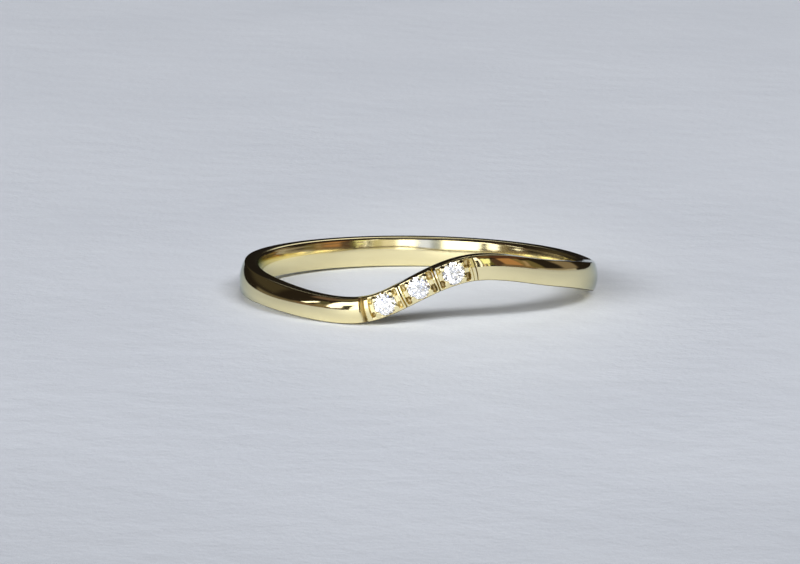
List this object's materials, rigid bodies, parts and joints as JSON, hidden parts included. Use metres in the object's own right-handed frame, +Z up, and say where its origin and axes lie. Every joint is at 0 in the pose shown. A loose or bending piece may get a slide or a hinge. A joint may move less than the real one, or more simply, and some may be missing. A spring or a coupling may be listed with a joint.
{
  "type": "diamond wedding ring",
  "caption": "Wavy contour wedding ring of polished yellow gold lying on its side, with small round brilliants bead-set between grooved bars on the rise of the wave.",
  "frame": {"origin": "below the middle of the ring, on the surface that it lies on", "axes": "+Z up, along the finger's axis apart from the small tilt at which the ring lies; -Y towards the stones; +X to the right of the stones, the way that the wave rises"},
  "size_m": [0.0194, 0.0194, 0.0037],
  "materials": {
    "gold": "polished 14 ct yellow gold",
    "diamond": "polished brilliant-cut diamond"
  },
  "bodies": {
    "root": {"band": "gold", "stone_left": "diamond", "stone_middle": "diamond", "stone_right": "diamond"}
  },
  "joints": []
}
